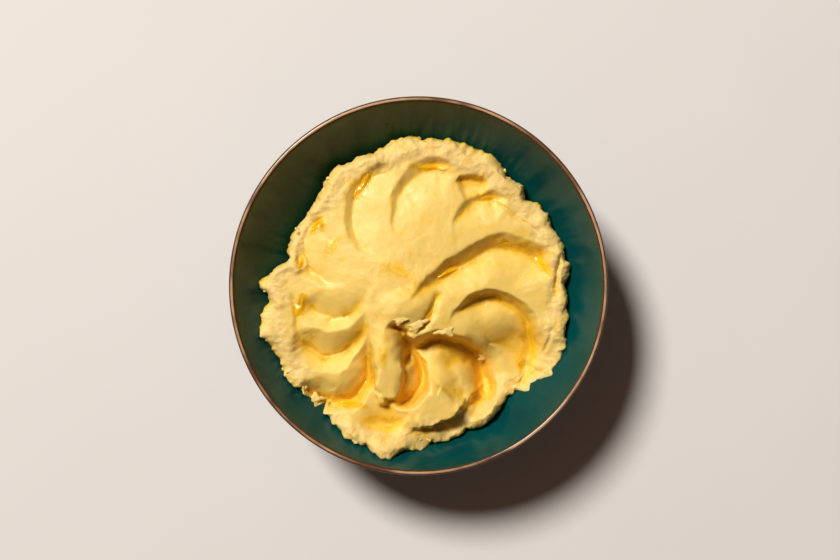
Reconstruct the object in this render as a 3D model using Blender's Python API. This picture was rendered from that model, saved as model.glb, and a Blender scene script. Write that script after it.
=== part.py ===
"""Mashed potato, swirled with a spoon, in its glazed stoneware bowl.

The origin is on the bowl's axis at the foot, with +Z up. The mash is one solid: its underside follows
the bowl, and its top is a mound that a ring of spoon presses has cut into overlapping blades.
"""

import math
from collections import namedtuple

import bmesh
import bpy
import numpy as np
from mathutils import Vector
from mathutils.geometry import delaunay_2d_cdt

# ---- Bowl, in metres -------------------------------------------------------
RIM_RADIUS = 0.110
BOWL_HEIGHT = 0.070
RIM_THICKNESS = 0.0034
BASE_THICKNESS = 0.0058
FLOOR_Z = 0.0095
FLOOR_RADIUS = 0.015  # flat middle of the floor, before the wall starts to rise
WALL_SWEEP = math.radians(65)  # the wall's slope grows along this much of an ellipse
# The rim is rounded, and the inner wall ends where the round starts.
LIP_IN_RADIUS = RIM_RADIUS - RIM_THICKNESS / 2 * (1 + math.sin(WALL_SWEEP))
LIP_IN_Z = BOWL_HEIGHT - RIM_THICKNESS / 2 * (1 - math.cos(WALL_SWEEP))
FOOT_RADIUS = 0.0400
FOOT_WIDTH = 0.0062
FOOT_RECESS = 0.0042
FOOT_EDGE = 0.0010
WALL_STEPS = 12
RIM_STEPS = 6
BOWL_SEGMENTS = 72

# ---- Mash, in millimetres until the mesh is made ---------------------------
MM = 0.001
GAP = 0.45  # between the mash and the bowl, over the 0.3 that touching meshes keep
OUTLINE_STEP = 15  # degrees between the radii below, anticlockwise from +X
OUTLINE = (90, 91, 88, 85.5, 88.5, 89.5, 89.5, 86, 85.5, 82, 81, 82.5,
           92.5, 95.5, 94.5, 93.5, 97, 100.5, 96.5, 93.5, 91, 87.5, 95, 92)
# Tips and notches of the outline: angle, half width in degrees, and how far they move it out.
TIPS = ((128, 7, 2.4), (157, 5, 2.2), (169, 4.5, -3.2), (178.5, 3.0, 3.2), (186.5, 4, -4.0), (198, 4, 1.8),
        (219, 8, 2.2), (231.5, 1.3, -4.5), (244, 4, 1.5), (261, 6, 2.6), (275, 4, -1.5), (309, 5, -1.5),
        (316, 2.6, 4.6), (325, 3, 2.5), (38, 3, -2.0), (10, 2, -1.5), (98, 4, 1.2))
SHOULDER = 6.5  # the rounded outer edge is this wide
RING_Z = 52.0  # height of the mound at its edge, and how much higher its middle is
DOME = 9.0
DOME_RADIUS = 58.0
RING_RISE = 0.5  # the outer ring stands this much over the mound, with its top this far in
RING_INSET = 9.0
RING_WIDTH = 6.5
STAND = 4.0  # the mound stands at least this high over the bowl's wall at the outline
STAND_WIDTH = 15.0
HUB = (-14.0, -6.0)  # the mound's middle, where the presses meet
TROUGH_RADIUS = 1.4
LIP = 0.15  # height of the lip that a press pushes up, as a share of its depth
BLEND = 0.9

# A press of the spoon leaves a trough along an arc, anticlockwise from start to end in degrees, with a
# straight head before it and a straight tail after it. The dish lies inside the arc and rises from the
# trough as a pillow does, the more suddenly the higher curve is, to reach the share rise of the depth at
# the arc's centre. The wall stands outside it. The press deepens over opens and fades over closes, both
# in millimetres along the trough.
Press = namedtuple("Press", "x y radius start end depth head tail opens closes wall curve rise",
                   defaults=(0, 0, 22, 22, 2.0, 2.0, 1.0))
PRESSES = (
    Press(-11.9, 41.8, 28.0, 84, 258, 3.4, opens=16, closes=34, wall=0.8),
    Press(17.7, 39.5, 32.0, 80, 214, 4.0, opens=14, closes=44, wall=0.8),
    Press(45.5, 28.0, 24.5, 66, 182, 4.6, opens=12, closes=26, wall=1.0),
    Press(51.0, -6.0, 28.5, 14, 122, 8.5, tail=60, opens=20, closes=46, wall=1.2),
    Press(41.5, -35.0, 27.0, -60, 154, 10.0, opens=34, closes=26, wall=1.9, rise=0.75),
    Press(14.0, -60.0, 26.0, -56, 146, 15.0, tail=10, opens=20, closes=12, wall=2.5, rise=0.75),
    Press(-18.0, -52.0, 20.5, -84, 36, 17.0, tail=28, opens=14, closes=26, wall=4.5, curve=2.8),
    Press(-50.0, -49.0, 20.5, 192, 366, 11.0, tail=32, opens=20, closes=34, wall=2.2, curve=2.6),
    Press(-53.0, -21.5, 19.5, 190, 344, 8.5, tail=20, opens=14, closes=30, wall=0.85, curve=2.4),
    Press(-51.0, 2.5, 20.5, 196, 332, 5.0, tail=14, opens=14, closes=30, wall=0.55, curve=2.4),
    Press(-47.0, 24.0, 22.0, 112, 306, 3.8, opens=12, closes=40, wall=0.6),
    Press(-23.7, -60.7, 22.7, -140, -26, 4.5, opens=20, closes=14, wall=1.4),
    Press(32.0, 33.0, 30.0, 67, 113, 5.0, opens=6, closes=6, wall=2.2),
)

# Lumps that the spoon left standing, and soft hollows, whose height is below zero: middle, half length,
# half width, turn in degrees, height, and the side in degrees on which it is torn off sharply, if any.
Lump = namedtuple("Lump", "x y length width turn height torn", defaults=(None,))
LUMPS = (
    Lump(12.0, -67.0, 25, 13, 32, 9.0, -58),
    Lump(-17.5, -47.0, 22, 8.5, 86, 5.5, -65),
    Lump(-8.0, -12.0, 13, 8, 12, 3.0),
    Lump(31.0, 2.0, 16, 8, 14, 1.5),
    Lump(57.0, -49.0, 23, 19, -45, -12.5),
    Lump(29.0, -52.0, 16, 14, -40, -8.5),
)
TORN_WIDTH, SOFT_WIDTH = 0.22, 1.3  # how far a lump takes to fall, as a share of its half width

# Creases in the outer ring: the points that each passes through, its depth and its half width.
GROOVES = (
    (((45.5, 51), (56, 43), (64.8, 36.2), (72, 31)), 1.3, 0.9),
    (((84, 19), (83, 8), (82, -8)), 2.6, 1.3),
    (((80, -22), (75, -38), (66, -52), (58, -62)), 1.6, 1.2),
    (((2, -84), (20, -86), (34, -80)), 1.8, 2.2),
    (((14, -2), (9.5, -11), (8, -16), (3, -23), (0, -29)), 2.4, 2.3),
    (((-19, -23.5), (-11, -25.5), (-3, -27.5)), 6.0, 1.7),
    (((-66, 40), (-61, 36), (-55, 42)), 2.0, 1.6),
    (((-73, 22), (-70, 14), (-66, 9)), 2.2, 1.5),
    (((-77, -4), (-72, -14), (-71, -24), (-67, -33)), 1.6, 1.8),
)
TORN_RINGS = (0.86, 1.14)  # where a torn lump's edge starts and ends its fall, as shares of its size

OUTLINE_POINTS = 132
EDGE_INSETS = (0.8, 2.6, 6.0)  # rings just inside the outline, where the shoulder curves
THINNEST = 1.0  # the mash is nowhere thinner than this
LATTICE = 4.3  # spacing of the points between the features
LATTICE_CLEARANCE = 2.4  # and how far they stay from the features
FEATURE_STEP = 4.0  # spacing of the points along each press
BEYOND_RISE = 0.15  # slope of a dish beyond its own radius
LIP_OFFSET = 1.5  # the lip's middle is this far behind the wall's top
LIP_WIDTH = 2.5
GROOVE_ENDS = 6.0  # a crease fades out over this length
UNTOUCHED = 2.0  # a press counts only where its surface is lower than this above the mound
DISH_OFFSET = 4.5  # a row of points follows each press in its dish, this far from the trough
MERGE = 1.5
UNDER_RINGS = (0.84, 0.6, 0.32)  # the underside's rings, as shares of the outline


def clear_scene():
    for old in list(bpy.data.objects):
        bpy.data.objects.remove(old, do_unlink=True)


def material(name, colour, roughness):
    made = bpy.data.materials.new(name)
    made.use_nodes = True
    shader = made.node_tree.nodes["Principled BSDF"]
    shader.inputs["Base Color"].default_value = (*colour, 1)
    shader.inputs["Roughness"].default_value = roughness
    shader.inputs["Metallic"].default_value = 0.0
    made.diffuse_color = (*colour, 1)
    return made


def add_object(name, mesh, finish):
    made = bpy.data.objects.new(name, mesh)
    bpy.context.scene.collection.objects.link(made)
    mesh.materials.append(finish)
    mesh.shade_smooth()
    mesh.set_sharp_from_angle(angle=math.radians(40))
    return made


# ---- Bowl ------------------------------------------------------------------
def wall_scales():
    """The two half axes of the ellipse that the inner wall follows."""
    reach = LIP_IN_RADIUS - FLOOR_RADIUS
    rise = LIP_IN_Z - FLOOR_Z
    return reach / math.sin(WALL_SWEEP), rise / (1 - math.cos(WALL_SWEEP))


def inner_wall(sweep):
    """Radius and height of the bowl's inner surface."""
    across, up = wall_scales()
    return FLOOR_RADIUS + across * math.sin(sweep), FLOOR_Z + up * (1 - math.cos(sweep))


def wall_height(radius):
    """Height in metres of the inner surface at a radius, for an array."""
    across, up = wall_scales()
    sine = np.clip((radius - FLOOR_RADIUS) / across, 0, 1)
    return FLOOR_Z + up * (1 - np.sqrt(1 - sine**2))


def outer_wall(sweep):
    """The inner wall moved out along its normal by the wall's thickness there."""
    across, up = wall_scales()
    along = Vector((across * math.cos(sweep), up * math.sin(sweep))).normalized()
    share = sweep / WALL_SWEEP
    thickness = BASE_THICKNESS + (RIM_THICKNESS - BASE_THICKNESS) * share
    radius, height = inner_wall(sweep)
    return radius + along.y * thickness, height - along.x * thickness


def bowl_profile():
    """Half the bowl's section, from the axis up the inside, over the rim and down to the foot."""
    sweeps = [WALL_SWEEP * i / WALL_STEPS for i in range(WALL_STEPS + 1)]
    inside = [(0.0, FLOOR_Z)] + [inner_wall(s) for s in sweeps]
    outside = [outer_wall(s) for s in sweeps]
    lip_in, lip_out = Vector(inside[-1]), Vector(outside[-1])
    middle, across = (lip_in + lip_out) / 2, (lip_out - lip_in) / 2
    upward = Vector((-across.y, across.x))
    rim = []
    for i in range(1, RIM_STEPS):
        turn = math.pi * i / RIM_STEPS
        rim.append(tuple(middle - across * math.cos(turn) + upward * math.sin(turn)))
    down = [p for p in reversed(outside) if p[0] > FOOT_RADIUS + FOOT_EDGE]
    foot_inside = FOOT_RADIUS - FOOT_WIDTH
    foot = [
        (FOOT_RADIUS, 0.0055),
        (FOOT_RADIUS - FOOT_EDGE, FOOT_EDGE),
        (FOOT_RADIUS - 2 * FOOT_EDGE, 0.0),
        (foot_inside + FOOT_EDGE, 0.0),
        (foot_inside, FOOT_EDGE),
        (foot_inside - FOOT_EDGE, FOOT_RECESS),
        (0.0, FOOT_RECESS),
    ]
    return inside + rim + down + foot


def make_bowl():
    """Turns the profile round the axis."""
    bm = bmesh.new()
    verts = [bm.verts.new((radius, 0, height)) for radius, height in bowl_profile()]
    edges = [bm.edges.new(pair) for pair in zip(verts, verts[1:])]
    bmesh.ops.spin(bm, geom=verts + edges, axis=(0, 0, 1), cent=(0, 0, 0),
                   angle=math.tau, steps=BOWL_SEGMENTS, use_merge=True)
    bmesh.ops.remove_doubles(bm, verts=bm.verts, dist=1e-5)
    bmesh.ops.recalc_face_normals(bm, faces=bm.faces)
    lowest = min(bm.verts, key=lambda v: v.co.z).co.z
    bmesh.ops.translate(bm, verts=bm.verts, vec=(0, 0, -lowest))
    mesh = bpy.data.meshes.new("bowl")
    bm.to_mesh(mesh)
    bm.free()
    return add_object("bowl", mesh, material("teal_glaze", (0.02, 0.11, 0.10), 0.18))


# ---- Mash ------------------------------------------------------------------
def bed_height(radius):
    """Height of the mash's underside in millimetres, the gap above the bowl, for an array of radii."""
    return wall_height(radius * MM) / MM + GAP


def outline_radius(angle):
    """Smooth closed curve through OUTLINE, for an array of angles in radians."""
    place = np.degrees(angle) % 360 / OUTLINE_STEP
    first = np.floor(place).astype(int)
    share = place - first
    before, here, after, beyond = (
        np.take(OUTLINE, first + step, mode="wrap") for step in (-1, 0, 1, 2))
    radius = here + 0.5 * share * (
        after - before
        + share * (2 * before - 5 * here + 4 * after - beyond
                   + share * (3 * (here - after) + beyond - before)))
    for middle, half_width, change in TIPS:
        away = (np.degrees(angle) - middle + 180) % 360 - 180
        radius = radius + change * np.exp(-((away / half_width) ** 2))
    return radius


def press_path(press, step=2.5):
    """Points along a press's head, arc and tail, so that the dish is on the left."""
    span = math.radians(press.end - press.start)
    turn = np.radians(np.linspace(press.start, press.end, max(4, round(span * press.radius / step))))
    outward = np.stack([np.cos(turn), np.sin(turn)], axis=1)
    heading = np.stack([-np.sin(turn), np.cos(turn)], axis=1)
    arc = np.array([press.x, press.y]) + press.radius * outward
    head = arc[0] - np.arange(step, press.head, step)[::-1, None] * heading[0]
    tail = arc[-1] + np.arange(step, press.tail, step)[:, None] * heading[-1]
    return np.concatenate([head, arc, tail])


def path_distance(points, path):
    """Distance to a path, positive on its left, and how far the nearest point is from its two ends."""
    start, run = path[:-1], path[1:] - path[:-1]
    lengths = np.hypot(run[:, 0], run[:, 1])
    offset = points[:, None] - start
    along = np.clip((offset * run).sum(2) / lengths**2, 0, 1)
    gap = offset - along[..., None] * run
    distance = np.hypot(gap[..., 0], gap[..., 1])
    nearest = distance.argmin(1)
    row = np.arange(len(points))
    gap, run = gap[row, nearest], run[nearest]
    side = np.sign(run[:, 0] * gap[:, 1] - run[:, 1] * gap[:, 0])
    passed = np.concatenate([[0], np.cumsum(lengths)])[nearest] + along[row, nearest] * lengths[nearest]
    return distance[row, nearest] * side, passed, lengths.sum() - passed


def rounded(distance, radius):
    """A distance whose corner at zero is rounded."""
    return np.sqrt(distance**2 + radius**2) - radius


def smooth_min(a, b, width):
    mix = np.clip(0.5 + 0.5 * (b - a) / width, 0, 1)
    return b + (a - b) * mix - width * mix * (1 - mix)


def fade(share):
    """Smooth step from 0 to 1."""
    share = np.clip(share, 0, 1)
    return share * share * (3 - 2 * share)


def press_surface(points, press):
    """Height of a press's trough, dish and wall, and of the lip beside it, above the mound."""
    distance, passed, left = path_distance(points, press_path(press))
    strength = fade(passed / press.opens) * fade(left / press.closes)
    depth = press.depth * strength
    inside = rounded(np.maximum(distance, 0), TROUGH_RADIUS) / press.radius
    pillow = press.rise * (1 - np.clip(1 - inside, 0, 1) ** press.curve)
    dish = pillow + BEYOND_RISE * np.maximum(inside - 1, 0)
    outside = np.maximum(-distance, 0)
    wall = press.wall * rounded(outside, TROUGH_RADIUS)
    surface = np.where(distance > 0, depth * (dish - 1), wall - depth)
    lip = LIP * depth * np.exp(-(((outside - depth / press.wall - LIP_OFFSET) / LIP_WIDTH) ** 2))
    return surface, np.where(distance < 0, lip, 0)


def lump_height(points, lump):
    """A lump that falls softly, but sharply on its torn side."""
    turn = math.radians(lump.turn)
    dx, dy = points[:, 0] - lump.x, points[:, 1] - lump.y
    along = (dx * math.cos(turn) + dy * math.sin(turn)) / lump.length
    across = (dy * math.cos(turn) - dx * math.sin(turn)) / lump.width
    sharp = np.zeros(len(points))
    if lump.torn is not None:
        torn = math.radians(lump.torn)
        facing = (dx * math.cos(torn) + dy * math.sin(torn)) / (np.hypot(dx, dy) + 1e-6)
        sharp = fade((facing + 0.1) / 0.6)
    width = SOFT_WIDTH + (TORN_WIDTH - SOFT_WIDTH) * sharp
    reach = 1 - np.hypot(along, across)
    return lump.height * fade(0.5 + reach / width)


def groove_depth(points, groove):
    """A narrow crease that is deepest in its middle."""
    path, depth, half_width = groove
    distance, passed, left = path_distance(points, np.array(path, float))
    ends = fade(passed / GROOVE_ENDS) * fade(left / GROOVE_ENDS)
    return depth * ends * np.exp(-((distance / half_width) ** 2))


def mound_height(points):
    """The mound before the spoon touched it, thicker where it has spread up the bowl's wall."""
    away = np.hypot(points[:, 0] - HUB[0], points[:, 1] - HUB[1]) / DOME_RADIUS
    inset, edge = edge_distance(points)
    ring = RING_RISE * np.exp(-(((inset - RING_INSET) / RING_WIDTH) ** 2))
    height = RING_Z + DOME * np.exp(-(away**2)) + ring
    short = np.maximum(bed_height(edge) + STAND - height, 0)
    return height + short * fade(1.2 - inset / STAND_WIDTH)


def relief_height(points):
    """How far the presses and lumps stand above the mound, below zero in the dishes."""
    carved, lips = np.full(len(points), UNTOUCHED), np.zeros(len(points))
    for press in PRESSES:
        surface, lip = press_surface(points, press)
        carved = smooth_min(carved, surface, BLEND)
        lips = np.maximum(lips, lip)
    relief = smooth_min(carved, lips, BLEND)
    for lump in LUMPS:
        relief = relief + lump_height(points, lump)
    for groove in GROOVES:
        relief = relief - groove_depth(points, groove)
    return relief


def edge_distance(points):
    """How far inside the outline each point is, along its radius, and the outline's radius there."""
    edge = outline_radius(np.arctan2(points[:, 1], points[:, 0]))
    return edge - np.hypot(points[:, 0], points[:, 1]), edge


def shouldered(height, inset, edge):
    """Brings a height down to the bowl's wall in a rounded shoulder at the outline."""
    rim = bed_height(edge)
    share = np.clip(inset / SHOULDER, 0, 1)
    return rim + (height - rim) * np.sqrt(1 - (1 - share) ** 2)


def mash_height(points):
    """Height of the mash's top, in millimetres, at points inside the outline."""
    inset, edge = edge_distance(points)
    height = shouldered(mound_height(points) + relief_height(points), inset, edge)
    return np.maximum(height, bed_height(edge - inset) + THINNEST * fade(inset / 3))


def outline_points(inset=0.0, count=OUTLINE_POINTS):
    turn = np.arange(count) * math.tau / count
    radius = outline_radius(turn) - inset
    return np.stack([radius * np.cos(turn), radius * np.sin(turn)], axis=1)


def lattice_points():
    """Points between the features, in rows staggered like a honeycomb."""
    reach = max(OUTLINE)
    rows = np.arange(-reach, reach, LATTICE * math.sqrt(3) / 2)
    found = []
    for i, y in enumerate(rows):
        xs = np.arange(-reach, reach, LATTICE) + (i % 2) * LATTICE / 2
        found.append(np.stack([xs, np.full(len(xs), y)], axis=1))
    return np.concatenate(found)


def torn_points(lump):
    """Points along the top and the foot of a lump's torn side."""
    turn = math.radians(lump.turn)
    found = []
    for share in TORN_RINGS:
        around = np.radians(lump.torn - lump.turn + np.arange(-90, 91, 9))
        along, across = share * lump.length * np.cos(around), share * lump.width * np.sin(around)
        found.append(np.stack([lump.x + along * math.cos(turn) - across * math.sin(turn),
                               lump.y + along * math.sin(turn) + across * math.cos(turn)], axis=1))
    return np.concatenate(found)


def groove_points(groove):
    """Points along a crease's bottom and its two sides."""
    path, _, half_width = groove
    corners = np.array(path, float)
    share = np.linspace(0, len(corners) - 1, 4 * len(corners) - 3)
    line = np.stack([np.interp(share, np.arange(len(corners)), corners[:, i]) for i in (0, 1)], axis=1)
    heading = np.gradient(line, axis=0)
    side = np.stack([-heading[:, 1], heading[:, 0]], axis=1) / np.hypot(*heading.T)[:, None]
    return np.concatenate([line, line + 1.6 * half_width * side, line - 1.6 * half_width * side])


def feature_points():
    """Points along each crease, each torn edge, and each press's trough, wall and dish."""
    found = [groove_points(groove) for groove in GROOVES]
    found += [torn_points(lump) for lump in LUMPS if lump.torn is not None]
    for press in PRESSES:
        wall_width = press.depth / press.wall + 1
        for offset in (-wall_width, 0.0, DISH_OFFSET):
            found.append(press_path(press._replace(radius=press.radius - offset), FEATURE_STEP))
    return np.concatenate(found)


def spaced(points, kept, distance):
    """The points that are at least this far from each other and from the kept ones."""
    chosen = list(kept)
    for point in points:
        if np.hypot(*(np.array(chosen) - point).T).min() >= distance:
            chosen.append(point)
    return chosen[len(kept):]


def within(points, inset):
    """The points that lie at least this far inside the outline."""
    limit = outline_radius(np.arctan2(points[:, 1], points[:, 0])) - inset
    return points[np.hypot(points[:, 0], points[:, 1]) < limit]


def top_points():
    """Plan points of the top: the outline first, then its insets, the features and the lattice."""
    edge = list(outline_points())
    rings = [p for inset in EDGE_INSETS for p in outline_points(inset)]
    inner_edge = EDGE_INSETS[-1] + MERGE
    near = spaced(within(feature_points(), inner_edge), rings, MERGE)
    far = spaced(within(lattice_points(), inner_edge), rings + near, LATTICE_CLEARANCE)
    return np.array(edge + rings + near + far)


def make_mash():
    """The top is a triangulation of the plan points. The underside follows the bowl in rings."""
    plan = top_points()
    ring = [(i, (i + 1) % OUTLINE_POINTS) for i in range(OUTLINE_POINTS)]
    flat, _, faces, _, _, _ = delaunay_2d_cdt(
        [Vector(p) for p in plan], ring, [], 1, 1e-4)
    flat = np.array([(p.x, p.y) for p in flat])
    heights = mash_height(flat)
    bm = bmesh.new()
    top = [bm.verts.new((x * MM, y * MM, z * MM)) for (x, y), z in zip(flat, heights)]
    for face in faces:
        bm.faces.new([top[i] for i in face])
    previous = top[:OUTLINE_POINTS]
    for share in UNDER_RINGS:
        plan = outline_points() * share
        bed = bed_height(np.hypot(plan[:, 0], plan[:, 1]))
        current = [bm.verts.new((x * MM, y * MM, z * MM)) for (x, y), z in zip(plan, bed)]
        for i, j in ring:
            bm.faces.new((previous[j], previous[i], current[i], current[j]))
        previous = current
    middle = bm.verts.new((0, 0, FLOOR_Z + GAP * MM))
    for i, j in ring:
        bm.faces.new((previous[j], previous[i], middle))
    mesh = bpy.data.meshes.new("mashed_potato")
    bm.to_mesh(mesh)
    bm.free()
    return add_object("mashed_potato", mesh, material("mash", (0.88, 0.66, 0.30), 0.55))


def main():
    clear_scene()
    make_bowl()
    make_mash()


main()
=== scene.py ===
"""Looks of the mashed potato with melted butter in its glazed stoneware bowl.

The shapes are worked out in millimetres and become metres when a mesh is made. Seen from above, +X is
right and +Y is up. The mash is the CAD's own mound at full resolution, with its grain, torn edges and
crumbs, and the butter lies where the mound is hollow.
"""

import math
from collections import namedtuple

import bmesh
import bpy
import numpy as np
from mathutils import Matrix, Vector, noise


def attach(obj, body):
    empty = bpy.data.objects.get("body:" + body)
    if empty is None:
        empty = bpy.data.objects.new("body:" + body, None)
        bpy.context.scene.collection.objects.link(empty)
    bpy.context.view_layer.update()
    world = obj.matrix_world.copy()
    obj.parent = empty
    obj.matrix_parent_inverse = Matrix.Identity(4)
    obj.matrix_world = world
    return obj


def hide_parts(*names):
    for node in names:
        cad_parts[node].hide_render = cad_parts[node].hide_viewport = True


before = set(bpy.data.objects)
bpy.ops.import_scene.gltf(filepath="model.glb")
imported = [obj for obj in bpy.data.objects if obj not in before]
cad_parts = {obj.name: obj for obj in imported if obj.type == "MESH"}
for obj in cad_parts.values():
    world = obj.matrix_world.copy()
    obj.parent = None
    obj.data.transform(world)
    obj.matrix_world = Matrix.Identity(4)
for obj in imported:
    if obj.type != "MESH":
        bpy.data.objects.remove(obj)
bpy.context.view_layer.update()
MM = 0.001

# ---- Bowl -------------------------------------------------------------------
RIM_RADIUS = 110.0
BOWL_HEIGHT = 70.0
RIM_THICKNESS = 3.4
BASE_THICKNESS = 5.8
FLOOR_Z = 9.5
FLOOR_RADIUS = 15.0
WALL_SWEEP = math.radians(65)
LIP_IN_RADIUS = RIM_RADIUS - RIM_THICKNESS / 2 * (1 + math.sin(WALL_SWEEP))
LIP_IN_Z = BOWL_HEIGHT - RIM_THICKNESS / 2 * (1 - math.cos(WALL_SWEEP))
WALL_ACROSS = (LIP_IN_RADIUS - FLOOR_RADIUS) / math.sin(WALL_SWEEP)
WALL_UP = (LIP_IN_Z - FLOOR_Z) / (1 - math.cos(WALL_SWEEP))
FOOT_RADIUS = 40.0
FOOT_WIDTH = 6.2
FOOT_RECESS = 4.2
FOOT_EDGE = 1.0
FOOT_TOP = 5.5  # height at which the foot meets the bowl
WALL_STEPS = 56
RIM_STEPS = 12
BOWL_SEGMENTS = 240

# ---- Mash: its outline, its mound and the spoon's presses ---------------------
OUTLINE_STEP = 15  # degrees between the radii below, anticlockwise from +X
OUTLINE = (90, 91, 88, 85.5, 88.5, 89.5, 89.5, 86, 85.5, 82, 81, 82.5,
           92.5, 95.5, 94.5, 93.5, 97, 100.5, 96.5, 93.5, 91, 87.5, 95, 92)
# Tips and notches of the outline: angle, half width in degrees, and how far they move it out.
TIPS = ((128, 7, 2.4), (157, 5, 2.2), (169, 4.5, -3.2), (178.5, 3.0, 3.2), (186.5, 4, -4.0), (198, 4, 1.8),
        (219, 8, 2.2), (231.5, 1.3, -4.5), (244, 4, 1.5), (261, 6, 2.6), (275, 4, -1.5), (309, 5, -1.5),
        (316, 2.6, 4.6), (325, 3, 2.5), (38, 3, -2.0), (10, 2, -1.5), (98, 4, 1.2))
SHOULDER = 6.5  # the rounded outer edge is this wide
RING_Z = 52.0  # height of the mound at its edge, and how much higher its middle is
DOME = 9.0
DOME_RADIUS = 58.0
RING_RISE = 0.5  # the outer ring stands this much over the mound, with its top this far in
RING_INSET = 9.0
RING_WIDTH = 6.5
STAND = 4.0  # the mound stands at least this high over the bowl's wall at the outline
STAND_WIDTH = 15.0
STAND_REACH = 1.2  # it is thicker for that to this many times STAND_WIDTH in from the outline
HUB = (-14.0, -6.0)  # the mound's middle, where the presses meet
TROUGH_RADIUS = 1.4
LIP = 0.15  # height of the lip that a press pushes up, as a share of its depth
BLEND = 0.9

# A press of the spoon leaves a trough along an arc, anticlockwise from start to end in degrees, with a
# straight head before it and a straight tail after it. The dish lies inside the arc and rises from the
# trough as a pillow does, the more suddenly the higher curve is, to reach the share rise of the depth at
# the arc's centre. The wall stands outside it. The press deepens over opens and fades over closes, both
# in millimetres along the trough.
Press = namedtuple("Press", "x y radius start end depth head tail opens closes wall curve rise",
                   defaults=(0, 0, 22, 22, 2.0, 2.0, 1.0))
PRESSES = (
    Press(-11.9, 41.8, 28.0, 84, 258, 3.4, opens=16, closes=34, wall=0.8),
    Press(17.7, 39.5, 32.0, 80, 214, 4.0, opens=14, closes=44, wall=0.8),
    Press(45.5, 28.0, 24.5, 66, 182, 4.6, opens=12, closes=26, wall=1.0),
    Press(51.0, -6.0, 28.5, 14, 122, 8.5, tail=60, opens=20, closes=46, wall=1.2),
    Press(41.5, -35.0, 27.0, -60, 154, 10.0, opens=34, closes=26, wall=1.9, rise=0.75),
    Press(14.0, -60.0, 26.0, -56, 146, 15.0, tail=10, opens=20, closes=12, wall=2.5, rise=0.75),
    Press(-18.0, -52.0, 20.5, -84, 36, 17.0, tail=28, opens=14, closes=26, wall=4.5, curve=2.8),
    Press(-50.0, -49.0, 20.5, 192, 366, 11.0, tail=32, opens=20, closes=34, wall=2.2, curve=2.6),
    Press(-53.0, -21.5, 19.5, 190, 344, 8.5, tail=20, opens=14, closes=30, wall=0.85, curve=2.4),
    Press(-51.0, 2.5, 20.5, 196, 332, 5.0, tail=14, opens=14, closes=30, wall=0.55, curve=2.4),
    Press(-47.0, 24.0, 22.0, 112, 306, 3.8, opens=12, closes=40, wall=0.6),
    Press(-23.7, -60.7, 22.7, -140, -26, 4.5, opens=20, closes=14, wall=1.4),
    Press(32.0, 33.0, 30.0, 67, 113, 5.0, opens=6, closes=6, wall=2.2),
)

# Lumps that the spoon left standing, and soft hollows, whose height is below zero: middle, half length,
# half width, turn in degrees, height, and the side in degrees on which it is torn off sharply, if any.
Lump = namedtuple("Lump", "x y length width turn height torn", defaults=(None,))
LUMPS = (
    Lump(12.0, -67.0, 25, 13, 32, 9.0, -58),
    Lump(-17.5, -47.0, 22, 8.5, 86, 5.5, -65),
    Lump(-8.0, -12.0, 13, 8, 12, 3.0),
    Lump(31.0, 2.0, 16, 8, 14, 1.5),
    Lump(57.0, -49.0, 23, 19, -45, -12.5),
    Lump(29.0, -52.0, 16, 14, -40, -8.5),
)
TORN_WIDTH, SOFT_WIDTH = 0.22, 1.3  # how far a lump takes to fall, as a share of its half width
TORN_START, TORN_SPAN = -0.1, 0.6  # cosines over which its edge turns from soft to torn

# Creases in the outer ring: the points that each passes through, its depth and its half width.
GROOVES = (
    (((45.5, 51), (56, 43), (64.8, 36.2), (72, 31)), 1.3, 0.9),
    (((84, 19), (83, 8), (82, -8)), 2.6, 1.3),
    (((80, -22), (75, -38), (66, -52), (58, -62)), 1.6, 1.2),
    (((2, -84), (20, -86), (34, -80)), 1.8, 2.2),
    (((14, -2), (9.5, -11), (8, -16), (3, -23), (0, -29)), 2.4, 2.3),
    (((-19, -23.5), (-11, -25.5), (-3, -27.5)), 6.0, 1.7),
    (((-66, 40), (-61, 36), (-55, 42)), 2.0, 1.6),
    (((-73, 22), (-70, 14), (-66, 9)), 2.2, 1.5),
    (((-77, -4), (-72, -14), (-71, -24), (-67, -33)), 1.6, 1.8),
)
BEYOND_RISE = 0.15  # slope of a dish beyond its own radius
LIP_OFFSET = 1.5  # the lip's middle is this far behind the wall's top
LIP_WIDTH = 2.5
GROOVE_ENDS = 6.0  # a crease fades out over this length
UNTOUCHED = 2.0  # a press counts only where its surface is lower than this above the mound

# ---- Butter --------------------------------------------------------------------
# Where melted butter gathers: x, y, half length, half width, turn in degrees, and its amount. An amount of
# 1 fills a hollow of the mash up to the surface that would bridge it.
POOLS = (
    (-33.0, 60.5, 4.6, 11, -33, 1.25),
    (9.0, 69.5, 13, 4.6, -3, 1.3),
    (39.5, 52.5, 9, 3.6, -4, 1.0),
    (58.0, 23.0, 21, 5.0, -14, 1.05),
    (75.0, 11.0, 12, 4.2, -46, 1.05),
    (16.5, 6.6, 8, 3.0, 30, 1.45),
    (-59.0, 36.5, 9, 4.0, 42, 1.3),
    (-69.5, 14.5, 3.4, 8, -20, 1.2),
    (-70.0, -12.0, 5.0, 8, -10, 1.3),
    (-14.0, 10.0, 14, 6, -20, 0.8),
    (-2.0, -3.0, 14, 5, 12, 0.8),
    (67.0, -30.0, 3.2, 16, 10, 0.9),
    (6.0, -18.0, 3.0, 9, -28, 1.0),
    (-21.0, -42.0, 3.4, 9, 4, 0.8),
    (-52.0, 22.0, 10, 5, 60, 0.8),
    (-38.0, -71.0, 10, 2.4, -4, 1.1),
    (-17.0, 46.0, 9, 13, 10, 0.3),
    (30.0, -6.0, 15, 6, 20, 0.3),
)
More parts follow.
